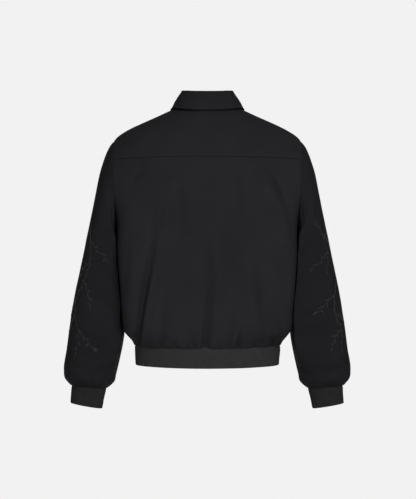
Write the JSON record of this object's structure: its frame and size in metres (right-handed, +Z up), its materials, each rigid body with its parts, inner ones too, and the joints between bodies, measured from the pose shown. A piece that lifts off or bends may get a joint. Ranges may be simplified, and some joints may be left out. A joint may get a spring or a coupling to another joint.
{
  "type": "bomber jacket worn with no wearer",
  "caption": "Loose zip-front bomber jacket, hollow as worn, with a turned-down collar, back yoke, dropped sleeves and ribbed cuffs and hem.",
  "frame": {"origin": "midway between the two neck points, at the height where the jacket rests on its wearer's shoulders", "axes": "+Z up, -Y out of the jacket's front, +X towards the wearer's left"},
  "size_m": [0.721, 0.2637, 0.797],
  "materials": {
    "twill": "black close twill, faint sheen",
    "rib": "charcoal rib knit, matt",
    "tape": "black woven zip tape",
    "zip_metal": "dark zip metal, satin"
  },
  "bodies": {
    "jacket": {"back_panel": "twill", "back_yoke": "twill", "front_left": "twill", "front_right": "twill", "sleeve_left": "twill", "sleeve_right": "twill", "collar_stand": "twill", "collar_fall": "twill", "cuff_left": "rib", "cuff_right": "rib", "hem_band": "rib", "zip_tape_left": "tape", "zip_tape_right": "tape", "zip_chain": "zip_metal", "zip_slider": "zip_metal", "zip_stop": "zip_metal"},
    "pull_tab": {"zip_pull": "zip_metal"}
  },
  "joints": [
    {"name": "pull_tab_hinge", "type": "hinge", "parent": "jacket", "child": "pull_tab", "pos_m": [0, -0.09611, -0.08677], "axis": [-1, 0, 0], "range_deg": [0, 130]}
  ]
}
